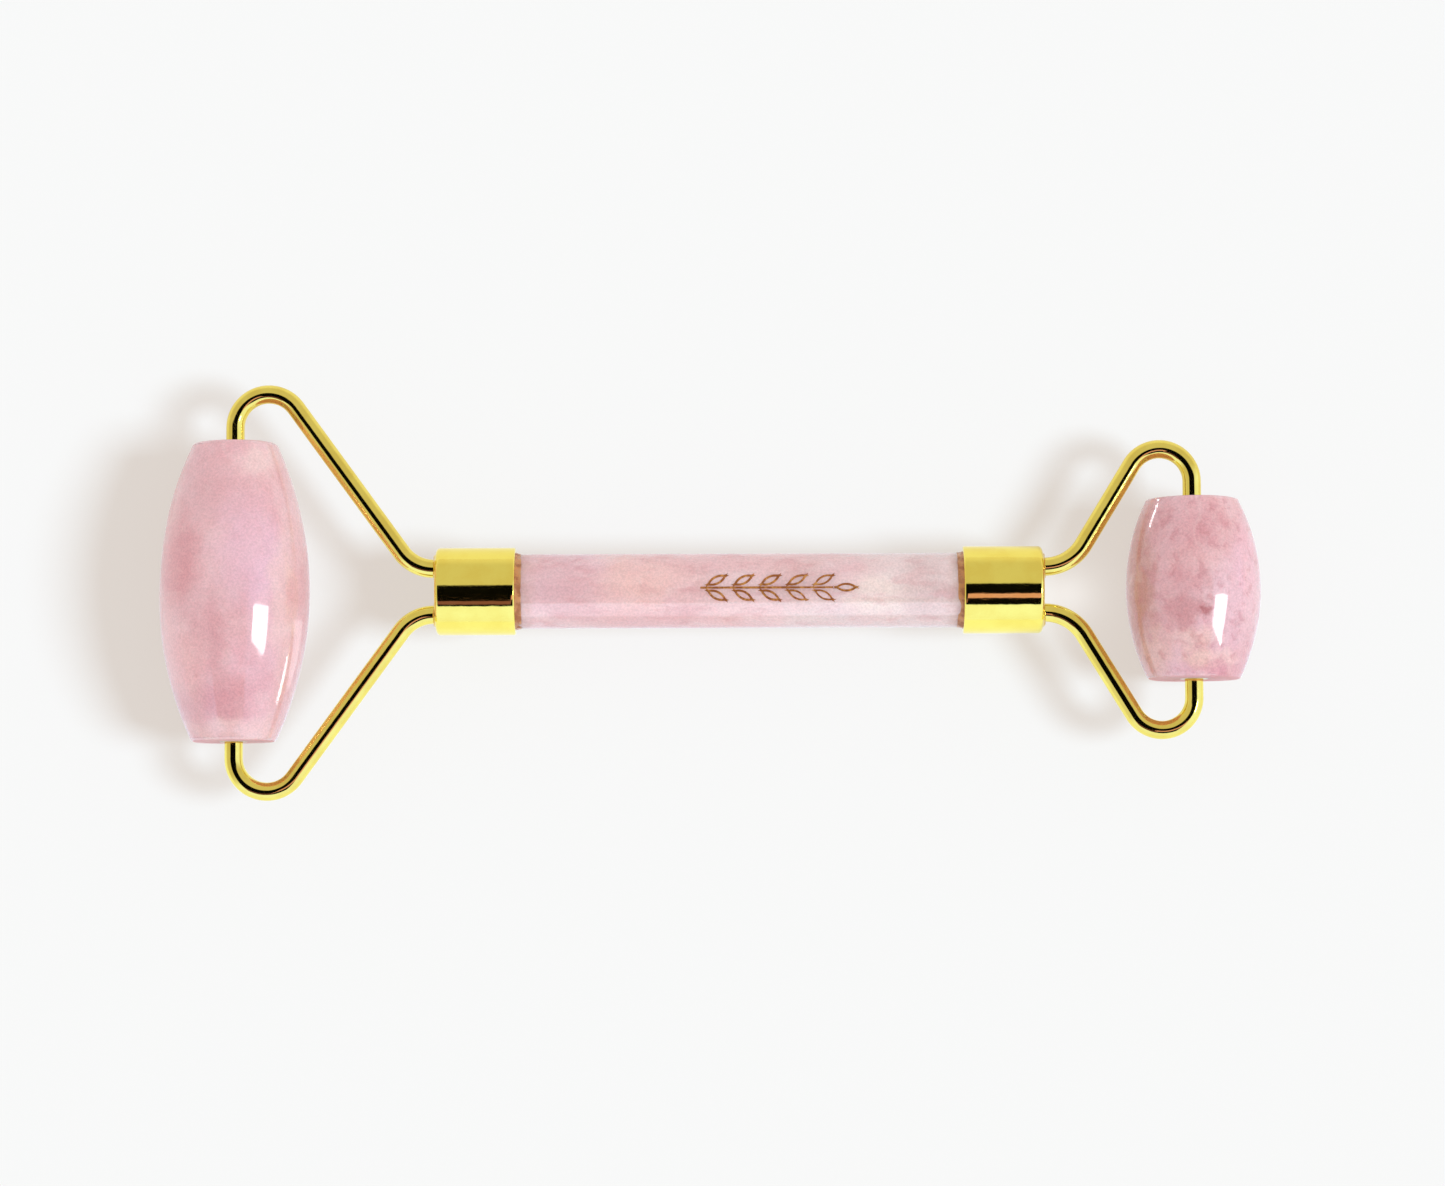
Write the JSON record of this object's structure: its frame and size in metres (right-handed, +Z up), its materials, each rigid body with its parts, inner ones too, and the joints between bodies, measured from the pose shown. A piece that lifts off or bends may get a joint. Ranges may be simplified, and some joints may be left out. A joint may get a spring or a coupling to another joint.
{
  "type": "face roller",
  "caption": "Double-ended stone face roller: a round rose quartz handle with a gold wire fork at each end, holding a large and a small barrel-shaped stone roller that spin.",
  "frame": {"origin": "middle of the object's footprint, on the surface that the large roller rests on, under the handle's axis", "axes": "+X along the handle from the large roller to the small one, +Y along both rollers' axes to the left of +X, +Z up, square to the plane of the forks"},
  "size_m": [0.1479, 0.056, 0.0201],
  "materials": {
    "rose_quartz": "polished",
    "rose_quartz_pale": "polished",
    "gold_plate": "polished",
    "gilt_inlay": "satin",
    "braze": "satin",
    "cement": "satin",
    "nylon": "satin"
  },
  "bodies": {
    "handle": {"handle_bar": "rose_quartz_pale", "handle_inlay": "gilt_inlay", "large_ferrule": "gold_plate", "small_ferrule": "gold_plate", "large_ferrule_epoxy": "cement", "small_ferrule_epoxy": "cement", "large_fork_arm_front": "gold_plate", "large_braze_front": "braze", "large_fork_arm_rear": "gold_plate", "large_braze_rear": "braze", "small_fork_arm_front": "gold_plate", "small_braze_front": "braze", "small_fork_arm_rear": "gold_plate", "small_braze_rear": "braze"},
    "large_roller": {"large_liner_front": "nylon", "large_liner_rear": "nylon", "large_roller_stone": "rose_quartz"},
    "small_roller": {"small_liner_front": "nylon", "small_liner_rear": "nylon", "small_roller_stone": "rose_quartz"}
  },
  "joints": [
    {"name": "large_roller_spin", "type": "hinge", "parent": "handle", "child": "large_roller", "pos_m": [-0.0639, 0, 0.01005], "axis": [0, 1, 0], "continuous": true},
    {"name": "small_roller_spin", "type": "hinge", "parent": "handle", "child": "small_roller", "pos_m": [0.06495, 0, 0.01005], "axis": [0, 1, 0], "continuous": true}
  ]
}
